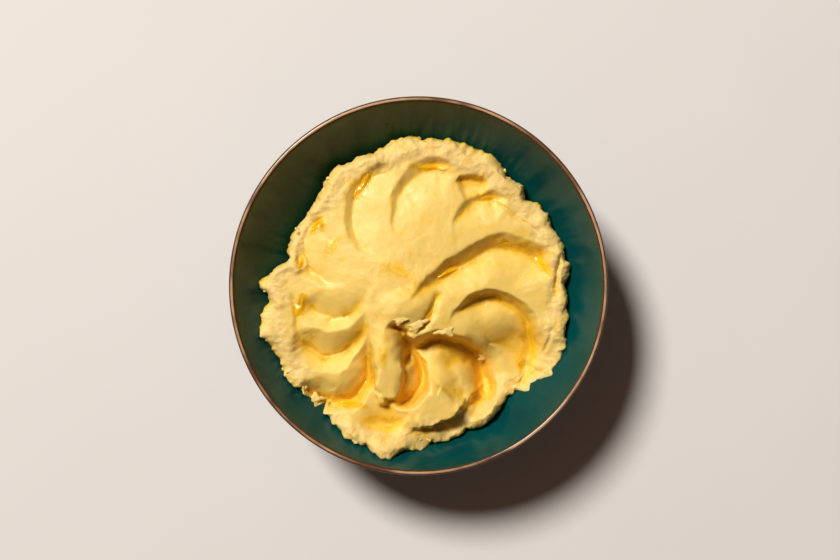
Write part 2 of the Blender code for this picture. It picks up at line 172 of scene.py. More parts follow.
# Where a film without ripples wets the mash: the same.
FILMS = (
    (-10.0, 9.5, 12, 6, -15, 1.3),
    (-50.0, 24.0, 7, 9, 20, 1.2),
    (-21.0, -38.0, 4, 10, 4, 1.2),
    (-68.0, -16.0, 5, 8, -10, 1.2),
    (-2.0, -4.0, 12, 4, 12, 1.1),
)
POOL_RAGGED = 0.38  # how unevenly a pool's edge runs, as a share of its size, and over what wavelength
POOL_WAVE = 7.0
POOL_END = 1.5  # a pool ends at this many times its half size, and reaches its amount POOL_FADE inside that
POOL_FADE = 1.4
SMOOTHING = 26  # passes over the mash's heights that find the surface that would bridge its hollows
FILM_SHORTFALL = 1.6  # butter fills a hollow to this far under it, and a pool's amount raises that
POOL_REACH = 1.6
FILM_DEPTH = 0.35  # the butter is no deeper than this outside the pools, and a pool's amount adds to that
POOL_DOME = 0.5
FILM_SKIN = 0.3  # the butter's underside is this far inside the mash
BUTTER_INSET = 4.0  # the butter keeps this far inside the outline
RIPPLE_LEAST = 0.6  # a pool whose amount is over this has a ripple along it, which catches the light
RIPPLE_SHIFT = 0.1  # the ripple's place, half width and half length, as shares of the pool's half sizes
RIPPLE_WIDTH = 0.28
RIPPLE_LENGTH = 1.3
SOAK_SHADE_SMOOTHING = 90  # passes that find the wider hollows, which are coloured golden: partly butter soaked in, partly painted shade
SOAK_SHADE_DEPTH = 1.6  # a hollow this deep gets its full gold of soaked butter and painted shade
SOAK_SHADE_SPREAD = 10  # passes that spread that gold up the walls of the hollows, as painted shade on walls that fall in shade
SOAK_SHADE_MOST = 0.68  # how golden a hollow gets from soaked butter and painted shade, and how golden the mash is round a pool of POOL_SOAK_FULL
POOL_SOAK = 0.75
POOL_SOAK_FULL = 1.1
GRAIN_DRY = 0.4  # rough mash is this much less golden

# ---- Torn bits and crumbs ------------------------------------------------------
# Shreds of potato that lie on the mound: x, y, half length, half width, half height, turn in degrees.
Shred = namedtuple("Shred", "x y length width height turn")
SHREDS = (
    Shred(-1.0, -23.0, 5.6, 3.2, 1.0, 24),
    Shred(15.8, -27.0, 5.0, 2.4, 1.0, 4),
    Shred(39.5, -43.5, 3.0, 2.0, 1.1, -12),
    Shred(-61.5, -67.5, 3.6, 3.0, 2.0, 40),
    Shred(-11.0, -20.5, 3.4, 1.8, 1.0, 10),
)
CRUMB_COUNT = 24
CRUMB_RADIUS = (0.6, 1.5)
CRUMB_SEED = 7
CRUMB_STRETCH = (0.55, 1.4)  # a crumb's three half sizes, as shares of its radius
CRUMB_ROUGH = 0.9  # how uneven it is, as a share of its size
CRUMB_SUNK = 0.4  # as a share of its radius
CRUMB_INSET = 2.2  # most crumbs lie this far inside the outline, within about CRUMB_SPREAD
CRUMB_SPREAD = 1.6
CRUMB_ELSEWHERE = 0.004  # chance of a crumb on the rest of the rough mash, beside that
SHRED_ROUGH = 0.3  # the same for a shred
SHRED_SPIKES = (0.34, 0.18)  # size of a shred's three long and seven short spikes
SHRED_RAISED = 0.25  # its middle is this share of its height above the mash
BLOB_SIZE = 5.0  # size and wavelength of the noise that roughens both
BLOB_WAVE = 4.0

# ---- Mash: its surface ---------------------------------------------------------
GRID = 280  # cells along each side of the grid that is bent into the mash's top
UNDER_RINGS = (0.86, 0.6, 0.3)  # rings of its underside, as shares of the outline
THINNEST = 0.8  # the mash is at least this thick, but for the last THIN_EDGE before its outline
THIN_EDGE = 3.0
SINK = 0.2  # the mash reaches this far into the glaze, so that no line of light shows under it
ROUGH_RING = 10.0  # the outer ring is rough to about this far in, and its roughness fades over ROUGH_FADE
ROUGH_FADE = 8.0
ROUGH_INSIDE = 0.15  # how rough the rest is, and how much roughness a press takes away
PRESS_SMOOTHS = 0.9
SMOOTH_EDGE = 3.0  # a press smooths the mash over this width, over this length at its ends,
SMOOTH_ENDS = 8.0
SMOOTH_REACH = 1.2  # and as far in as this many times its radius
BORDER_POWER = 7  # how suddenly the border's wandering sets in towards the outline
# Noises of the mash's surface, in millimetres. Torn edges wander as a share of their lump's size.
Noise = namedtuple("Noise", "strength wavelength octaves seed")
BORDER_NOISE = (Noise(2.6, 11.0, 3, 1), Noise(0.8, 3.6, 3, 8))
RING_NOISE = (Noise(4.0, 16.0, 2, 2),)
LUMP_NOISE = (Noise(1.9, 15.0, 2, 3), Noise(0.6, 6.0, 2, 4))
BIT_NOISE = (Noise(0.35, 2.2, 3, 5),)
FINE_NOISE = (Noise(0.24, 9.0, 2, 6), Noise(0.06, 2.4, 2, 9))
TORN_NOISE = (Noise(0.16, 7.0, 3, 7),)
WARP_NOISE = ((Noise(1.9, 17.0, 3, 10),), (Noise(1.9, 17.0, 3, 11),))  # how far the presses' edges wander
SEED_STEP = 37.0  # moves each noise to another part of the noise field

# ---- Light, camera and floor ---------------------------------------------------
CAMERA_PLACE = (0.00086, 0.0034, 0.745)  # in metres, as are the light's distance and the floor's size
CAMERA_LENS = 50.0
LIGHT_AZIMUTH = math.radians(129.5)  # anticlockwise from +X
LIGHT_ELEVATION = math.radians(51)
LIGHT_DISTANCE = 5.0
LIGHT_ANGLE = math.radians(15)
LIGHT_POWER = 240.0
LIGHT_COLOUR = (1.0, 0.95, 0.89)
FILL_COLOUR = (1.0, 0.64, 0.48)
FILL_STRENGTH = 0.074
FLOOR_SIZE = 6.0


# ---- Node helpers --------------------------------------------------------------
class Shader:
    """A material's node tree, with one short call for each kind of node."""

    def __init__(self, name):
        self.material = bpy.data.materials.new(name)
        self.material.use_nodes = True
        self.tree = self.material.node_tree
        self.principled = self.tree.nodes["Principled BSDF"]
        self.place = self.node("ShaderNodeTexCoord").outputs["Object"]

    def node(self, kind, **settings):
        made = self.tree.nodes.new(kind)
        for key, value in settings.items():
            setattr(made, key, value)
        return made

    def join(self, source, socket):
        if isinstance(source, bpy.types.NodeSocket):
            self.tree.links.new(source, socket)
        else:
            socket.default_value = source

    def set(self, name, source):
        """Sets or links one of the Principled shader's own sockets."""
        if isinstance(source, tuple):
            source = (*source, 1.0)
        self.join(source, self.principled.inputs[name])

    def noise(self, scale, detail=4.0, roughness=0.55):
        """A noise's value, its scale in cycles per metre."""
        made = self.node("ShaderNodeTexNoise")
        self.join(self.place, made.inputs["Vector"])
        made.inputs["Scale"].default_value = scale
        made.inputs["Detail"].default_value = detail
        made.inputs["Roughness"].default_value = roughness
        return made.outputs["Fac"]

    def cells(self, scale):
        """Distance to the middle of the nearest of many scattered cells, in cells."""
        made = self.node("ShaderNodeTexVoronoi")
        self.join(self.place, made.inputs["Vector"])
        made.inputs["Scale"].default_value = scale
        return made.outputs["Distance"]

    def attribute(self, name):
        return self.node("ShaderNodeAttribute", attribute_name=name).outputs["Fac"]

    def math(self, operation, a, b):
        made = self.node("ShaderNodeMath", operation=operation)
        self.join(a, made.inputs[0])
        self.join(b, made.inputs[1])
        return made.outputs[0]

    def between(self, value, low, high, to_low=0.0, to_high=1.0):
        """Maps low..high to to_low..to_high, smoothly and clamped."""
        made = self.node("ShaderNodeMapRange", interpolation_type="SMOOTHSTEP")
        self.join(value, made.inputs["Value"])
        for name, number in zip(("From Min", "From Max", "To Min", "To Max"), (low, high, to_low, to_high)):
            self.join(number, made.inputs[name])
        return made.outputs["Result"]

    def mix(self, share, a, b):
        made = self.node("ShaderNodeMix", data_type="RGBA")
        self.join(share, made.inputs["Factor"])
        for socket, colour in ((made.inputs["A"], a), (made.inputs["B"], b)):
            self.join((*colour, 1.0) if isinstance(colour, tuple) else colour, socket)
        return made.outputs["Result"]

    def height(self):
        """Height above the table, in millimetres."""
        split = self.node("ShaderNodeSeparateXYZ")
        self.join(self.place, split.inputs[0])
        return self.math("DIVIDE", split.outputs["Z"], MM)

    def bump(self, value, distance, strength):
        made = self.node("ShaderNodeBump")
        made.inputs["Strength"].default_value = strength
        made.inputs["Distance"].default_value = distance
        self.join(value, made.inputs["Height"])
        self.join(made.outputs["Normal"], self.principled.inputs["Normal"])


def srgb(red, green, blue):
    """Linear colour of an sRGB one given in 0 to 255."""
    return tuple(c / 12.92 if c <= 0.04045 else ((c + 0.055) / 1.055) ** 2.4
                 for c in (red / 255, green / 255, blue / 255))


# ---- Materials -----------------------------------------------------------------
def glazed_wall(shader, height):
    """Teal glaze that turns olive higher up, with dark specks."""
    drift = shader.math("MULTIPLY", shader.math("SUBTRACT", shader.noise(28, 5), 0.5), 26.0)
    uneven = shader.math("ADD", height, drift)
    teal = shader.mix(shader.noise(60, 6, 0.65), srgb(0, 68, 70), srgb(0, 90, 90))
    olive = shader.mix(shader.noise(90, 6, 0.7), srgb(22, 76, 64), srgb(48, 88, 70))
    wall = shader.mix(shader.between(uneven, 57, 82), teal, olive)
    specks = shader.between(shader.cells(420), 0.10, 0.22, 0.25, 0.0)
    return shader.mix(specks, wall, srgb(20, 44, 38))


def bare_rim(shader, height, edge):
    """Brown, with a painted highlight: a tan line along the crest that comes and goes round the rim."""
    brown = shader.mix(shader.noise(260, 5, 0.7), srgb(52, 26, 16), srgb(120, 80, 52))
    # painted highlight: the top of the lip is lightened to tan where light would glint off the glossy rim
    painted_highlight_band = shader.between(shader.math("ADD", height, shader.math("MULTIPLY", edge, 0.12)), 69.80, 69.95)
    tan = shader.math("MULTIPLY", painted_highlight_band, shader.between(shader.noise(32, 2), 0.38, 0.58, 0.15, 1.0))
    return shader.mix(tan, brown, srgb(204, 170, 134))


def glaze_material():
    """Glazed walls, a bare brown rim and a bare clay foot."""
    shader = Shader("reactive_teal_glaze")
    height = shader.height()
    edge = shader.math("MULTIPLY", shader.math("SUBTRACT", shader.noise(170, 3), 0.5), 1.6)
    on_rim = shader.between(shader.math("ADD", height, edge), 69.0, 69.4)
    on_foot = shader.between(shader.math("ADD", height, edge), 2.2, 1.4)
    clay = shader.mix(shader.noise(500, 4), srgb(150, 120, 92), srgb(176, 146, 114))
    above_foot = shader.mix(on_rim, glazed_wall(shader, height), bare_rim(shader, height, edge))
    shader.set("Base Color", shader.mix(on_foot, above_foot, clay))
    shine = shader.between(shader.noise(45, 3), 0.3, 0.7, 0.13, 0.24)
    worn = shader.math("MAXIMUM", shine, shader.math("MULTIPLY", on_rim, 0.26))
    shader.set("Roughness", shader.math("MAXIMUM", worn, shader.math("MULTIPLY", on_foot, 0.8)))
    shader.set("IOR", 1.5)
    ripple = shader.math("ADD", shader.noise(85, 2), shader.math("MULTIPLY", shader.noise(700, 3), 0.12))
    shader.bump(ripple, 0.0006, 0.5)
    return shader.material


def mash_colour(shader, grain, soak_and_shade):
    """Cream, paler where it is rough, and yellow to golden where butter has soaked in and, in the hollows, as
    painted shade.
    """
    smooth = shader.mix(shader.noise(95, 5, 0.6), srgb(251, 221, 138), srgb(250, 211, 106))
    rough = shader.mix(shader.noise(240, 5, 0.7), srgb(249, 223, 156), srgb(243, 208, 122))
    dry = shader.mix(grain, smooth, rough)
    yellow = shader.mix(shader.noise(130, 4), srgb(251, 212, 96), srgb(248, 201, 68))
    # golden: butter soaked in, and in the hollows also painted shade
    golden = shader.mix(shader.noise(130, 4), srgb(229, 183, 50), srgb(208, 157, 22))
    blotch = shader.between(shader.noise(120, 5, 0.65), 0.50, 0.70, 0.0, 0.38)
    amount = shader.math("MINIMUM", shader.math("ADD", soak_and_shade, blotch), 1.0)
    stained_and_shaded = shader.mix(shader.between(amount, 0.0, 0.6), dry, yellow)
    return shader.mix(shader.between(amount, 0.45, 1.0), stained_and_shaded, golden)


def mash_material():
    """Moist potato that is wetter in its buttered hollows and rougher where it is torn."""
    shader = Shader("buttery_mash")
    grain, soak_and_shade = shader.attribute("grain"), shader.attribute("soak_and_shade")
    shader.set("Base Color", mash_colour(shader, grain, soak_and_shade))
    wet = shader.between(soak_and_shade, 0.1, 0.6, 0.50, 0.17)
    moist = shader.between(shader.noise(85, 4, 0.6), 0.52, 0.68, 0.0, -0.12)
    uneven = shader.math("ADD", moist, shader.math("MULTIPLY", grain, 0.12))
    shader.set("Roughness", shader.math("ADD", wet, uneven))
    shader.set("Subsurface Weight", 0.45)
    shader.set("Subsurface Scale", 0.0018)
    shader.principled.inputs["Subsurface Radius"].default_value = (1.0, 0.52, 0.18)
    fine = shader.math("MULTIPLY", shader.noise(1500, 4, 0.6), shader.between(soak_and_shade, 0.2, 0.8, 0.35, 0.8))
    coarse = shader.math("MULTIPLY", shader.noise(520, 4, 0.6), shader.math("ADD", grain, 0.3))
    shader.bump(shader.math("ADD", fine, coarse), 0.0009, 0.45)
    return shader.material


def butter_material():
    """Melted butter: pale where it is a film, and deep gold where it is a pool."""
    shader = Shader("melted_butter")
    depth = shader.attribute("depth")
    thin, mid, deep = srgb(253, 208, 84), srgb(247, 193, 36), srgb(234, 164, 8)
    shallow = shader.mix(shader.between(depth, 0.1, 0.8), thin, mid)
    colour = shader.mix(shader.between(depth, 0.7, 2.2), shallow, deep)
    milk = shader.between(shader.noise(380, 5, 0.6), 0.60, 0.74, 0.0, 0.35)
    shader.set("Base Color", shader.mix(milk, colour, srgb(250, 216, 120)))
    shader.set("Roughness", shader.between(shader.noise(300, 3), 0.35, 0.7, 0.05, 0.12))
    shader.set("IOR", 1.46)
    shader.set("Alpha", shader.between(depth, 0.0, 0.7, 0.0, 0.95))
    shader.set("Subsurface Weight", 0.2)
    shader.set("Subsurface Scale", 0.003)
    shader.principled.inputs["Subsurface Radius"].default_value = (1.0, 0.6, 0.1)
    shader.bump(shader.noise(190, 3), 0.0009, 0.8)
    return shader.material


def floor_material():
    """Plain pale matt surface with a trace of unevenness."""
    shader = Shader("plain_floor")
    shader.set("Base Color", shader.mix(shader.noise(6, 3), srgb(231, 229, 228), srgb(235, 233, 232)))
    shader.set("Roughness", 0.85)
    shader.set("Specular IOR Level", 0.2)
    return shader.material


# ---- Bowl ------------------------------------------------------------------------
def wall_height(radius):
    """Height of the bowl's inner surface at a radius, for an array."""
    sine = np.clip((radius - FLOOR_RADIUS) / WALL_ACROSS, 0, 1)
    return FLOOR_Z + WALL_UP * (1 - np.sqrt(1 - sine**2))


def inner_wall(sweep):
    return Vector((FLOOR_RADIUS + WALL_ACROSS * math.sin(sweep), FLOOR_Z + WALL_UP * (1 - math.cos(sweep))))


def outer_wall(sweep):
    """The inner wall moved out along its normal by the wall's thickness there."""
    along = Vector((WALL_ACROSS * math.cos(sweep), WALL_UP * math.sin(sweep))).normalized()
    thickness = BASE_THICKNESS + (RIM_THICKNESS - BASE_THICKNESS) * sweep / WALL_SWEEP
    return inner_wall(sweep) + Vector((along.y, -along.x)) * thickness


def rim_points():
    """The rounded rim, from the inner wall's end to the outer wall's."""
    lip_in, lip_out = inner_wall(WALL_SWEEP), outer_wall(WALL_SWEEP)
    middle, across = (lip_in + lip_out) / 2, (lip_out - lip_in) / 2
    upward = Vector((-across.y, across.x))
    turns = [math.pi * i / RIM_STEPS for i in range(1, RIM_STEPS)]
    return [middle - across * math.cos(t) + upward * math.sin(t) for t in turns]


def bowl_profile():
    """Half the bowl's section, from the axis up the inside, over the rim and down to the foot."""
    sweeps = [WALL_SWEEP * i / WALL_STEPS for i in range(WALL_STEPS + 1)]
    down = [p for p in map(outer_wall, reversed(sweeps)) if p.x > FOOT_RADIUS + FOOT_EDGE]
    foot_inside = FOOT_RADIUS - FOOT_WIDTH
    foot = [
        Vector((FOOT_RADIUS, FOOT_TOP)),
        Vector((FOOT_RADIUS - 0.4 * FOOT_EDGE, 2 * FOOT_EDGE)),
        Vector((FOOT_RADIUS - FOOT_EDGE, FOOT_EDGE)),
        Vector((FOOT_RADIUS - 1.3 * FOOT_EDGE, 0.3 * FOOT_EDGE)),
        Vector((FOOT_RADIUS - 2 * FOOT_EDGE, 0)),
        Vector((foot_inside + FOOT_EDGE, 0)),
        Vector((foot_inside + 0.3 * FOOT_EDGE, 0.3 * FOOT_EDGE)),
        Vector((foot_inside, FOOT_EDGE)),
        Vector((foot_inside - FOOT_EDGE, FOOT_RECESS)),
    ]
    middle = [Vector((0.0, FOOT_RECESS))]
    return [Vector((0.0, FLOOR_Z))] + [inner_wall(s) for s in sweeps] + rim_points() + down + foot + middle


def turned(profile, segments):
    """Vertices and faces of a profile turned round the axis. Its two ends lie on the axis."""
    verts = [(0, 0, profile[0].y)]
    for point in profile[1:-1]:
        for i in range(segments):
            turn = math.tau * i / segments
            verts.append((point.x * math.cos(turn), point.x * math.sin(turn), point.y))
    verts.append((0, 0, profile[-1].y))
    rings = len(profile) - 2
    faces = []
    for i in range(segments):
        j = (i + 1) % segments
        faces.append((0, 1 + i, 1 + j))
        for ring in range(rings - 1):
            a, b = 1 + ring * segments, 1 + (ring + 1) * segments
            faces.append((a + i, b + i, b + j, a + j))
        last = 1 + (rings - 1) * segments
        faces.append((last + i, len(verts) - 1, last + j))
    return verts, faces


def add_mesh(name, verts, faces, material, attributes=None):
    """A smooth-shaded object from points in millimetres, with a number for each point per attribute."""
    mesh = bpy.data.meshes.new(name)
    mesh.from_pydata([tuple(v) for v in np.asarray(verts, float) * MM], [], faces)
    mesh.materials.append(material)
    for key, values in (attributes or {}).items():
        layer = mesh.attributes.new(key, "FLOAT", "POINT")
        layer.data.foreach_set("value", np.asarray(values, np.float32))
    mesh.shade_smooth()
    made = bpy.data.objects.new(name, mesh)
    bpy.context.scene.collection.objects.link(made)
    return made


def make_bowl():
    """The CAD's bowl at full smoothness."""
    verts, faces = turned(bowl_profile(), BOWL_SEGMENTS)
    bowl = add_mesh("glazed_bowl", verts, faces, glaze_material())
    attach(bowl, "root")
    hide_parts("bowl")


# ---- Mash: its outline, mound and relief -------------------------------------------
def outline_radius(angle):
    """Smooth closed curve through OUTLINE, for an array of angles in radians."""
    place = np.degrees(angle) % 360 / OUTLINE_STEP
    first = np.floor(place).astype(int)
    share = place - first
    before, here, after, beyond = (
        np.take(OUTLINE, first + step, mode="wrap") for step in (-1, 0, 1, 2))
    radius = here + 0.5 * share * (
        after - before
        + share * (2 * before - 5 * here + 4 * after - beyond
                   + share * (3 * (here - after) + beyond - before)))
    for middle, half_width, change in TIPS:
        away = (np.degrees(angle) - middle + 180) % 360 - 180
        radius = radius + change * np.exp(-((away / half_width) ** 2))
    return radius


def press_path(press, step=2.5):
    """Points along a press's head, arc and tail, so that the dish is on the left."""
    span = math.radians(press.end - press.start)
    turn = np.radians(np.linspace(press.start, press.end, max(4, round(span * press.radius / step))))
    outward = np.stack([np.cos(turn), np.sin(turn)], axis=1)
    heading = np.stack([-np.sin(turn), np.cos(turn)], axis=1)
    arc = np.array([press.x, press.y]) + press.radius * outward
    head = arc[0] - np.arange(step, press.head, step)[::-1, None] * heading[0]
    tail = arc[-1] + np.arange(step, press.tail, step)[:, None] * heading[-1]
    return np.concatenate([head, arc, tail])


def path_distance(points, path):
    """Distance to a path, positive on its left, and how far the nearest point is from its two ends."""
    start, run = path[:-1], path[1:] - path[:-1]
    lengths = np.hypot(run[:, 0], run[:, 1])
    offset = points[:, None] - start
    along = np.clip((offset * run).sum(2) / lengths**2, 0, 1)
    gap = offset - along[..., None] * run
    distance = np.hypot(gap[..., 0], gap[..., 1])
    nearest = distance.argmin(1)
    row = np.arange(len(points))
    gap, run = gap[row, nearest], run[nearest]
    side = np.sign(run[:, 0] * gap[:, 1] - run[:, 1] * gap[:, 0])
    passed = np.concatenate([[0], np.cumsum(lengths)])[nearest] + along[row, nearest] * lengths[nearest]
    return distance[row, nearest] * side, passed, lengths.sum() - passed


def rounded(distance, radius):
    """A distance whose corner at zero is rounded."""
    return np.sqrt(distance**2 + radius**2) - radius


def smooth_min(a, b, width):
    mix = np.clip(0.5 + 0.5 * (b - a) / width, 0, 1)
    return b + (a - b) * mix - width * mix * (1 - mix)


def fade(share):
    """Smooth step from 0 to 1."""
    share = np.clip(share, 0, 1)
    return share * share * (3 - 2 * share)


def press_surface(points, press):
    """Height of a press's trough, dish and wall, and of the lip beside it, above the mound."""
    distance, passed, left = path_distance(points, press_path(press))
    strength = fade(passed / press.opens) * fade(left / press.closes)
    depth = press.depth * strength
    inside = rounded(np.maximum(distance, 0), TROUGH_RADIUS) / press.radius
    pillow = press.rise * (1 - np.clip(1 - inside, 0, 1) ** press.curve)
    dish = pillow + BEYOND_RISE * np.maximum(inside - 1, 0)
    outside = np.maximum(-distance, 0)
    wall = press.wall * rounded(outside, TROUGH_RADIUS)
    surface = np.where(distance > 0, depth * (dish - 1), wall - depth)
    lip = LIP * depth * np.exp(-(((outside - depth / press.wall - LIP_OFFSET) / LIP_WIDTH) ** 2))
    return surface, np.where(distance < 0, lip, 0)


def lump_height(points, lump, ragged):
    """A lump that falls softly, but sharply on its torn side. ragged moves its edge in and out."""
    turn = math.radians(lump.turn)
    dx, dy = points[:, 0] - lump.x, points[:, 1] - lump.y
    along = (dx * math.cos(turn) + dy * math.sin(turn)) / lump.length
    across = (dy * math.cos(turn) - dx * math.sin(turn)) / lump.width
    sharp = np.zeros(len(points))
    if lump.torn is not None:
        torn = math.radians(lump.torn)
        facing = (dx * math.cos(torn) + dy * math.sin(torn)) / (np.hypot(dx, dy) + 1e-6)
        sharp = fade((facing - TORN_START) / TORN_SPAN)
    width = SOFT_WIDTH + (TORN_WIDTH - SOFT_WIDTH) * sharp
    reach = 1 + ragged * sharp - np.hypot(along, across)
    return lump.height * fade(0.5 + reach / width)


def groove_depth(points, groove):
    """A narrow crease that is deepest in its middle."""
    path, depth, half_width = groove
    distance, passed, left = path_distance(points, np.array(path, float))
    ends = fade(passed / GROOVE_ENDS) * fade(left / GROOVE_ENDS)
    return depth * ends * np.exp(-((distance / half_width) ** 2))


def mound_height(points):
    """The mound before the spoon touched it, thicker where it has spread up the bowl's wall."""
    away = np.hypot(points[:, 0] - HUB[0], points[:, 1] - HUB[1]) / DOME_RADIUS
    inset, edge = edge_distance(points)
    ring = RING_RISE * np.exp(-(((inset - RING_INSET) / RING_WIDTH) ** 2))
    height = RING_Z + DOME * np.exp(-(away**2)) + ring
    short = np.maximum(wall_height(edge) + STAND - height, 0)
    return height + short * fade(STAND_REACH - inset / STAND_WIDTH)


def relief_height(points, ragged):
    """How far the presses and lumps stand above the mound, below zero in the dishes."""
    carved, lips = np.full(len(points), UNTOUCHED), np.zeros(len(points))
    for press in PRESSES:
        surface, lip = press_surface(points, press)
        carved = smooth_min(carved, surface, BLEND)
        lips = np.maximum(lips, lip)
    relief = smooth_min(carved, lips, BLEND)
    for lump in LUMPS:
        relief = relief + lump_height(points, lump, ragged)
    for groove in GROOVES:
        relief = relief - groove_depth(points, groove)
    return relief


def edge_distance(points):
    """How far inside the outline each point is, along its radius, and the outline's radius there."""
    edge = outline_radius(np.arctan2(points[:, 1], points[:, 0]))
    return edge - np.hypot(points[:, 0], points[:, 1]), edge


def shouldered(height, inset, edge):
    """Brings a height down to the bowl's wall in a rounded shoulder at the outline."""
    rim = wall_height(edge)
    share = np.clip(inset / SHOULDER, 0, 1)
    return rim + (height - rim) * np.sqrt(1 - (1 - share) ** 2)


# ---- Mash: the grid, the grain and the mesh -------------------------------------------
def disc_grid():
    """Points of a square grid bent into the unit disc with little stretch, row by row."""
    line = np.linspace(-1, 1, GRID + 1)
    across, up = np.meshgrid(line, line)
    wide = np.abs(across) > np.abs(up)
    radius = np.where(wide, across, up)
    other = np.where(wide, up, across)
    ratio = np.divide(other, radius, out=np.zeros_like(other), where=radius != 0)
    turn = np.where(wide, math.pi / 4 * ratio, math.pi / 2 - math.pi / 4 * ratio)
    return np.stack([radius * np.cos(turn), radius * np.sin(turn)], axis=2).reshape(-1, 2)


def grid_faces():
    side = GRID + 1
    faces = []
    for row in range(GRID):
        for column in range(GRID):
            corner = row * side + column
            faces.append((corner, corner + 1, corner + side + 1, corner + side))
    return faces


def border():
    """Indices of the grid's edge, anticlockwise."""
    side = GRID + 1
    bottom = list(range(GRID))
    right = [GRID + i * side for i in range(GRID)]
    top = [side * side - 1 - i for i in range(GRID)]
    left = [GRID * side - i * side for i in range(GRID)]
    return bottom + right + top + left


def field(points, wavelength, octaves, seed):
    """Fractal noise between about -1 and 1, for points in millimetres."""
    shift = Vector((seed * SEED_STEP, seed * SEED_STEP / 2, 0))
    scaled = points / wavelength
    return np.array([noise.fractal(Vector(p) + shift, 1.0, 2.0, octaves) for p in scaled])


def summed(noises, points):
    return sum(n.strength * field(points, n.wavelength, n.octaves, n.seed) for n in noises)


def smoothed(values, passes):
    """Averages a grid of values with its neighbours a number of times."""
    table = values.reshape(GRID + 1, GRID + 1)
    for _ in range(passes):
        padded = np.pad(table, 1, mode="edge")
        table = (2 * table + padded[:-2, 1:-1] + padded[2:, 1:-1] + padded[1:-1, :-2] + padded[1:-1, 2:]) / 6
    return table.ravel()


def press_smoothness(points):
    """1 in the dishes that the spoon left smooth, falling to 0 outside them."""
    smooth = np.zeros(len(points))
    for press in PRESSES:
        distance, passed, left = path_distance(points, press_path(press, 5))
        within = fade((distance + 1) / SMOOTH_EDGE) * fade(passed / SMOOTH_ENDS) * fade(left / SMOOTH_ENDS)
        smooth = np.maximum(smooth, within * (distance < press.radius * SMOOTH_REACH))
    return smooth


def make_mash_top():
    """Plan points, heights, roughness and inset from the edge of the mash's top."""
    disc = disc_grid()
    turn = np.arctan2(disc[:, 1], disc[:, 0])
    share = np.hypot(disc[:, 0], disc[:, 1])
    outline = outline_radius(turn)
    plan = disc * outline[:, None]
    flat = np.column_stack([plan, np.zeros(len(plan))])
    plan = plan * (1 + share**BORDER_POWER * summed(BORDER_NOISE, flat) / outline)[:, None]
    radius = np.hypot(plan[:, 0], plan[:, 1])
    inset = (1 - share) * outline
    ring = fade(1 - (inset + summed(RING_NOISE, flat) - ROUGH_RING) / ROUGH_FADE)
    grain = np.clip(ring + ROUGH_INSIDE - PRESS_SMOOTHS * press_smoothness(plan), 0, 1)
    warp = np.stack([summed(noises, flat) for noises in WARP_NOISE], axis=1)
    relief = relief_height(plan + warp, summed(TORN_NOISE, flat))
    height = mound_height(plan) + relief + grain * summed(LUMP_NOISE, flat)
    bits = np.maximum(summed(BIT_NOISE, flat), 0)
    height = shouldered(height, inset, radius + inset) + grain * bits + summed(FINE_NOISE, flat)
    lowest = wall_height(radius) + THINNEST * fade(inset / THIN_EDGE)
    return plan, np.maximum(height, lowest), grain, inset


def close_under(plan, height):
    """Vertices and faces of a solid with that top, its underside following the bowl in rings."""
    verts = [np.column_stack([plan, height])]
    faces = grid_faces()
    edge = border()
    count, previous = len(plan), edge
    for share in UNDER_RINGS:
        ring = plan[edge] * share
        depth = wall_height(np.hypot(ring[:, 0], ring[:, 1])) - SINK
        verts.append(np.column_stack([ring, depth]))
        current = list(range(count, count + len(edge)))
        for i in range(len(edge)):
            j = (i + 1) % len(edge)
            faces.append((previous[j], previous[i], current[i], current[j]))
        count, previous = count + len(edge), current
    verts.append(np.array([[0, 0, FLOOR_Z - SINK]]))
    for i in range(len(edge)):
        faces.append((previous[(i + 1) % len(edge)], previous[i], count))
    return np.concatenate(verts), faces


def pool_depth(plan, table):
    """How much deeper the butter is in its soft-edged pools, and the height of the ripples along them."""
    ragged = POOL_RAGGED * field(np.column_stack([plan, np.zeros(len(plan))]), POOL_WAVE, 3, seed=12)
    pools, ripple = np.zeros(len(plan)), np.zeros(len(plan))
    for x, y, half_length, half_width, turn, amount in table:
        turn = math.radians(turn)
        dx, dy = plan[:, 0] - x, plan[:, 1] - y
        along = (dx * math.cos(turn) + dy * math.sin(turn)) / half_length
        across = (dy * math.cos(turn) - dx * math.sin(turn)) / half_width
        reach = np.hypot(along, across)
        pools = np.maximum(pools, amount * fade((POOL_END + ragged - reach) / POOL_FADE))
        narrow = np.where(half_length > half_width, across, along)
        lengthwise = np.where(half_length > half_width, along, across)
        line = np.exp(-(((narrow - RIPPLE_SHIFT + ragged) / RIPPLE_WIDTH) ** 2))
        line = line * fade(RIPPLE_LENGTH - np.abs(lengthwise))
        ripple = np.maximum(ripple, fade(amount - RIPPLE_LEAST) * line)
    return pools, ripple


def butter_surface(height, pools, ripple):
    """Height of the melted butter's surface, which is below the mash where there is none."""
    bridge = smoothed(height, SMOOTHING)
    filled = bridge - FILM_SHORTFALL + POOL_REACH * pools
    return np.minimum(filled, height + FILM_DEPTH + POOL_DOME * pools) + ripple


def soaked_and_shaded(height, pools, grain):
    """How golden the mash is: in its hollows, as soaked butter and painted shade together, and round the
    pools, and less where it is rough.
    """
    # painted shade: the hollows and the walls beside them turn gold as warm shade in them would look, beside
    # the butter soaked there
    hollow_soak_and_shade = fade((smoothed(height, SOAK_SHADE_SMOOTHING) - height) / SOAK_SHADE_DEPTH)
    hollow_soak_and_shade = np.minimum(smoothed(hollow_soak_and_shade, SOAK_SHADE_SPREAD), SOAK_SHADE_MOST)
    return np.maximum(hollow_soak_and_shade, POOL_SOAK * fade(pools / POOL_SOAK_FULL)) * (1 - GRAIN_DRY * grain)


